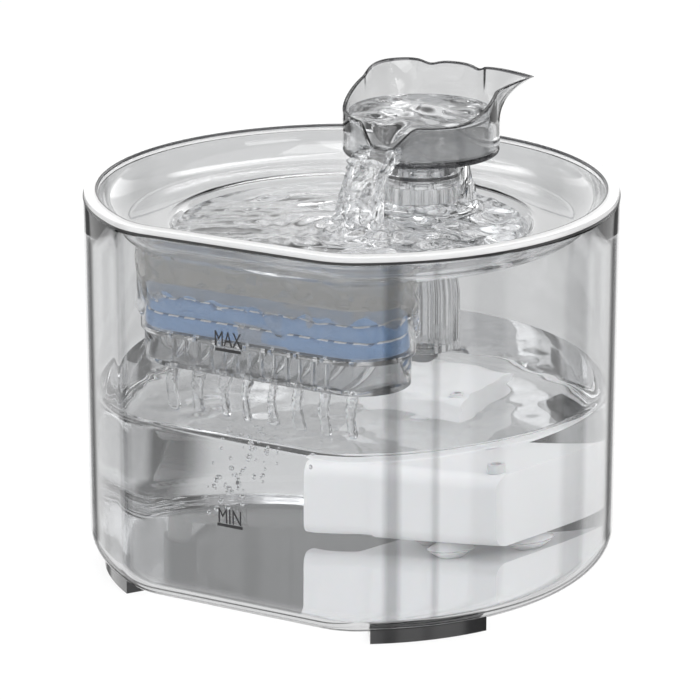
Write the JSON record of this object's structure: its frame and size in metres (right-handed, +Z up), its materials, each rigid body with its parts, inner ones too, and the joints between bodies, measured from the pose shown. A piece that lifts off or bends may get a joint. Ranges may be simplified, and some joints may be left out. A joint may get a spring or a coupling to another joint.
{
  "type": "pet water fountain",
  "caption": "Clear D-shaped pet water fountain: feet, lift-off drinking tray, eared pouring cup, hanging drip filter box with pads, and a submerged pump with riser.",
  "frame": {"origin": "on the floor under the middle of the tank's width and depth", "axes": "+Z up; the flat front with the level marks faces -Y, the cup's tower stands at the back, +Y, and the pump lies under it with its shaft along X and its intake at -X"},
  "size_m": [0.19, 0.1812, 0.1685],
  "materials": {
    "tank_clear": "clear moulded plastic, polished",
    "tray_clear": "clear moulded plastic, polished",
    "riser_clear": "clear extruded tube",
    "cup_smoke": "lightly smoked clear plastic, polished",
    "filter_clear": "clear moulded plastic with fine ribs",
    "filter_fabric": "blue non-woven filter felt with stitched edge",
    "carbon_grain": "black carbon granules",
    "foot_rubber": "smoky soft rubber",
    "mark_print": "printed line",
    "seal_rubber": "soft dark rubber",
    "pump_white": "satin white moulded plastic",
    "stator_steel": "stacked steel sheets",
    "coil_copper": "enamelled copper wire",
    "shaft_ceramic": "polished white ceramic",
    "magnet_ferrite": "dark sintered ferrite",
    "sponge_foam": "open dark foam",
    "dial_white": "satin white moulded plastic",
    "hose_silicone": "grey silicone tube",
    "suction_rubber": "soft translucent white rubber",
    "water": "clear water"
  },
  "bodies": {
    "root": {"tank": "tank_clear", "foot_pads": "foot_rubber", "level_marks": "mark_print"},
    "tray": {"tray": "tray_clear", "riser_sleeve": "riser_clear", "water_pipe": "riser_clear"},
    "collar": {"cup_collar": "riser_clear", "seal_ring": "seal_rubber"},
    "cup": {"cup": "cup_smoke", "cup_base": "cup_smoke"},
    "filter_box": {"filter_basket": "filter_clear", "filter_sump": "filter_clear"},
    "filter_pads": {"filter_pad_lower": "filter_fabric", "filter_pad_middle": "filter_fabric", "filter_pad_upper": "filter_fabric", "carbon_core": "carbon_grain"},
    "pump": {"pump_shell": "pump_white", "pump_back": "pump_white", "stator_core": "stator_steel", "stator_coil": "coil_copper", "volute": "pump_white", "rotor_shaft": "shaft_ceramic", "front_bush": "seal_rubber", "rear_bush": "seal_rubber", "outlet_hose": "hose_silicone", "suction_cups": "suction_rubber", "cable_gland": "suction_rubber"},
    "rotor": {"rotor_magnet": "magnet_ferrite", "impeller": "pump_white"},
    "intake_cover": {"pump_cover": "pump_white", "intake_sponge": "sponge_foam"},
    "dial": {"flow_dial": "dial_white"}
  },
  "joints": [
    {"name": "tray_lift", "type": "slide", "parent": "root", "child": "tray", "axis": [0, 0, 1], "range_m": [0, 0.26]},
    {"name": "cup_lift", "type": "slide", "parent": "tray", "child": "collar", "axis": [0, 0, 1], "range_m": [0, 0.05]},
    {"name": "cup_turn", "type": "hinge", "parent": "collar", "child": "cup", "pos_m": [0, 0.048, 0.139], "axis": [0, 0, 1], "continuous": true},
    {"name": "filter_drop", "type": "slide", "parent": "tray", "child": "filter_box", "axis": [0, 0, -1], "range_m": [0, 0.06]},
    {"name": "pads_lift", "type": "slide", "parent": "filter_box", "child": "filter_pads", "axis": [0, 0, 1], "range_m": [0, 0.03]},
    {"name": "pump_lift", "type": "slide", "parent": "root", "child": "pump", "axis": [0, 0, 1], "range_m": [0, 0.143]},
    {"name": "rotor_spin", "type": "hinge", "parent": "pump", "child": "rotor", "pos_m": [0, 0.035, 0.0228], "axis": [1, 0, 0], "continuous": true},
    {"name": "cover_slide", "type": "slide", "parent": "pump", "child": "intake_cover", "axis": [-1, 0, 0], "range_m": [0, 0.03]},
    {"name": "dial_turn", "type": "hinge", "parent": "intake_cover", "child": "dial", "pos_m": [-0.0125, 0.035, 0.0228], "axis": [1, 0, 0], "range_deg": [0, 90]}
  ],
  "couplings": [
    {"joint": "pads_lift", "follows": "filter_drop", "ratio": 0.5},
    {"joint": "pump_lift", "follows": "tray_lift", "ratio": 0.55}
  ]
}
